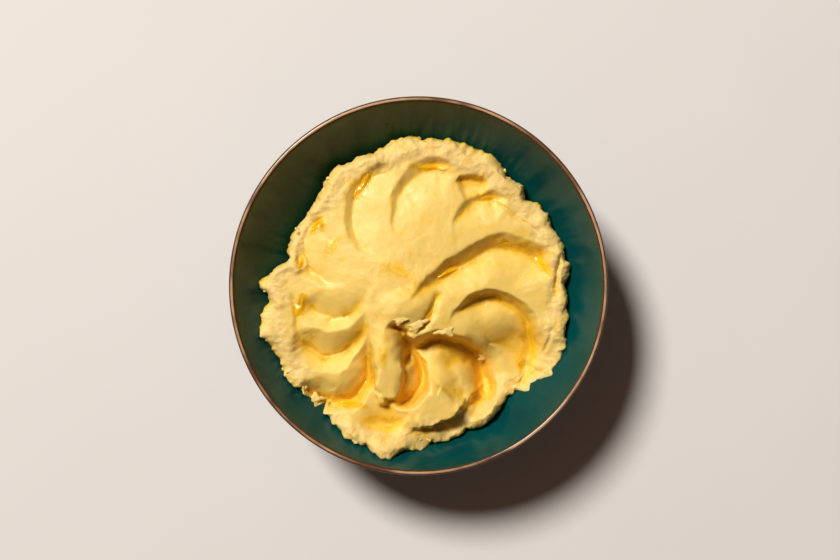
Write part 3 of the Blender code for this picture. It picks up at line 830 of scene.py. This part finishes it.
def wet_quads(wet):
    """The grid's cells that touch a wet point, each as the indices of its corners."""
    side = GRID + 1
    table = wet.reshape(side, side)
    rows, columns = np.nonzero(table[:-1, :-1] | table[1:, :-1] | table[:-1, 1:] | table[1:, 1:])
    corner = rows * side + columns
    return np.stack([corner, corner + 1, corner + side + 1, corner + side], axis=1)


def skin_faces(quads, count):
    """Faces of a closed skin: the quads, the same turned over count points on, and the strip round them."""
    edges = np.concatenate([quads[:, [i, (i + 1) % 4]] for i in range(4)])
    directed = {tuple(edge) for edge in edges.tolist()}
    outer = sorted((a, b) for a, b in directed if (b, a) not in directed)
    faces = [tuple(quad) for quad in quads.tolist()]
    faces += [tuple(count + i for i in reversed(quad)) for quad in quads.tolist()]
    return faces + [(b, a, a + count, b + count) for a, b in outer]


def make_butter(plan, height, inset, surface):
    """The part of the butter's surface that stands over the mash, closed by a skin just below it."""
    depth = surface - height
    used, index = np.unique(wet_quads((depth > 0) & (inset > BUTTER_INSET)), return_inverse=True)
    top = np.column_stack([plan[used], surface[used]])
    under = np.column_stack([plan[used], np.minimum(surface, height)[used] - FILM_SKIN])
    points, faces = np.concatenate([top, under]), skin_faces(index.reshape(-1, 4), len(used))
    deep = np.concatenate([depth[used], depth[used]])
    butter = add_mesh("melted_butter", points, faces, butter_material(), {"depth": deep})
    butter.visible_shadow = False  # the shadow of its clear edges would show as a dark line
    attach(butter, "root")


# ---- Torn bits and crumbs --------------------------------------------------------------
def blob(detail):
    """Points and triangles of a unit ball."""
    ball = bmesh.new()
    bmesh.ops.create_icosphere(ball, subdivisions=detail, radius=1.0)
    points = np.array([vert.co for vert in ball.verts])
    faces = [tuple(vert.index for vert in face.verts) for face in ball.faces]
    ball.free()
    return points, faces


def spin(points, degrees):
    turn = math.radians(degrees)
    x = points[:, 0] * math.cos(turn) - points[:, 1] * math.sin(turn)
    y = points[:, 0] * math.sin(turn) + points[:, 1] * math.cos(turn)
    return np.column_stack([x, y, points[:, 2]])


def height_at(plan, height, x, y):
    return height[np.hypot(plan[:, 0] - x, plan[:, 1] - y).argmin()]


def joined(parts):
    """Points and faces of several meshes as one."""
    points, faces, count = [], [], 0
    for part_points, part_faces in parts:
        faces += [tuple(count + i for i in face) for face in part_faces]
        points.append(part_points)
        count += len(part_points)
    return np.concatenate(points), faces


def make_loose(name, parts):
    points, faces = joined(parts)
    attributes = {"grain": np.ones(len(points)), "soak_and_shade": np.full(len(points), 0.05)}
    loose = add_mesh(name, points, faces, mash_material(), attributes)
    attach(loose, "root")


def make_shreds(plan, height):
    """Torn shreds with ragged ends, sunk a little into the mash."""
    ball, faces = blob(4)
    parts = []
    for number, shred in enumerate(SHREDS):
        rough = field(ball * BLOB_SIZE, BLOB_WAVE, 3, seed=20 + number)
        turn = np.arctan2(ball[:, 1], ball[:, 0]) + number
        spikes = SHRED_SPIKES[0] * np.cos(3 * turn) + SHRED_SPIKES[1] * np.cos(7 * turn + number)
        star = 1 + np.hypot(ball[:, 0], ball[:, 1]) ** 4 * spikes
        points = ball * (1 + SHRED_ROUGH * rough)[:, None] * np.column_stack([star, star, np.ones(len(ball))])
        points = spin(points * (shred.length, shred.width, shred.height), shred.turn)
        ground = height_at(plan, height, shred.x, shred.y)
        parts.append((points + (shred.x, shred.y, ground + SHRED_RAISED * shred.height), faces))
    make_loose("torn_bits", parts)


def make_crumbs(plan, height, grain, inset):
    """Small crumbs of potato, mostly along the ragged edge."""
    random = np.random.default_rng(CRUMB_SEED)
    ball, faces = blob(3)
    chance = np.exp(-(((inset - CRUMB_INSET) / CRUMB_SPREAD) ** 2)) + CRUMB_ELSEWHERE * grain
    chosen = random.choice(len(plan), CRUMB_COUNT, replace=False, p=chance / chance.sum())
    parts = []
    for number, index in enumerate(chosen):
        radius = random.uniform(*CRUMB_RADIUS)
        stretch = radius * random.uniform(*CRUMB_STRETCH, 3)
        rough = field(ball * BLOB_SIZE, BLOB_WAVE, 3, seed=60 + number % 12)
        points = spin(ball * (1 + CRUMB_ROUGH * rough)[:, None] * stretch, random.uniform(0, 360))
        parts.append((points + (*plan[index], height[index] - CRUMB_SUNK * radius), faces))
    make_loose("crumbs", parts)


def padded_to(values, count):
    """The values with zeros after them, for the points of the underside."""
    return np.concatenate([values, np.zeros(count - len(values))])


def make_mash(plan, height, grain, soak_and_shade):
    """The mash as one closed piece, its outline sunk a little into the glaze."""
    edge = border()
    height = height.copy()
    height[edge] = wall_height(np.hypot(plan[edge, 0], plan[edge, 1])) - SINK
    verts, faces = close_under(plan, height)
    attributes = {"grain": padded_to(grain, len(verts)), "soak_and_shade": padded_to(soak_and_shade, len(verts))}
    mash = add_mesh("mash", verts, faces, mash_material(), attributes)
    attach(mash, "root")
    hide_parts("mashed_potato")


# ---- Stage ---------------------------------------------------------------------------
def make_floor():
    half = FLOOR_SIZE / 2 / MM
    corners = [(-half, -half, 0), (half, -half, 0), (half, half, 0), (-half, half, 0)]
    floor = add_mesh("floor", corners, [(0, 1, 2, 3)], floor_material())


def make_camera():
    camera = bpy.data.cameras.new("camera")
    camera.lens = CAMERA_LENS
    camera.clip_start = 0.01
    made = bpy.data.objects.new("camera", camera)
    made.location = CAMERA_PLACE
    bpy.context.scene.collection.objects.link(made)
    bpy.context.scene.camera = made


def make_light():
    """One soft round light from the upper left, and a weak even fill."""
    level = math.cos(LIGHT_ELEVATION)
    toward = Vector((level * math.cos(LIGHT_AZIMUTH), level * math.sin(LIGHT_AZIMUTH),
                     math.sin(LIGHT_ELEVATION)))
    lamp = bpy.data.lights.new("studio_light", "AREA")
    lamp.shape = "DISK"
    lamp.size = 2 * LIGHT_DISTANCE * math.tan(LIGHT_ANGLE / 2)
    lamp.energy = LIGHT_POWER
    lamp.color = LIGHT_COLOUR
    made = bpy.data.objects.new("studio_light", lamp)
    made.location = toward * LIGHT_DISTANCE
    made.rotation_euler = toward.to_track_quat("Z", "Y").to_euler()
    bpy.context.scene.collection.objects.link(made)
    world = bpy.data.worlds.new("fill")
    world.use_nodes = True
    world.node_tree.nodes["Background"].inputs["Color"].default_value = (*FILL_COLOUR, 1)
    world.node_tree.nodes["Background"].inputs["Strength"].default_value = FILL_STRENGTH
    bpy.context.scene.world = world


def set_view():
    settings = bpy.context.scene.view_settings
    settings.view_transform = "Standard"
    settings.look = "Medium High Contrast"


def main():
    make_camera()
    make_light()
    set_view()
    make_floor()
    make_bowl()
    plan, height, grain, inset = make_mash_top()
    pools, ripple = pool_depth(plan, POOLS)
    films, _ = pool_depth(plan, FILMS)
    make_mash(plan, height, grain, soaked_and_shaded(height, pools, grain))
    make_butter(plan, height, inset, butter_surface(height, np.maximum(pools, films), ripple))
    make_shreds(plan, height)
    make_crumbs(plan, height, grain, inset)


main()
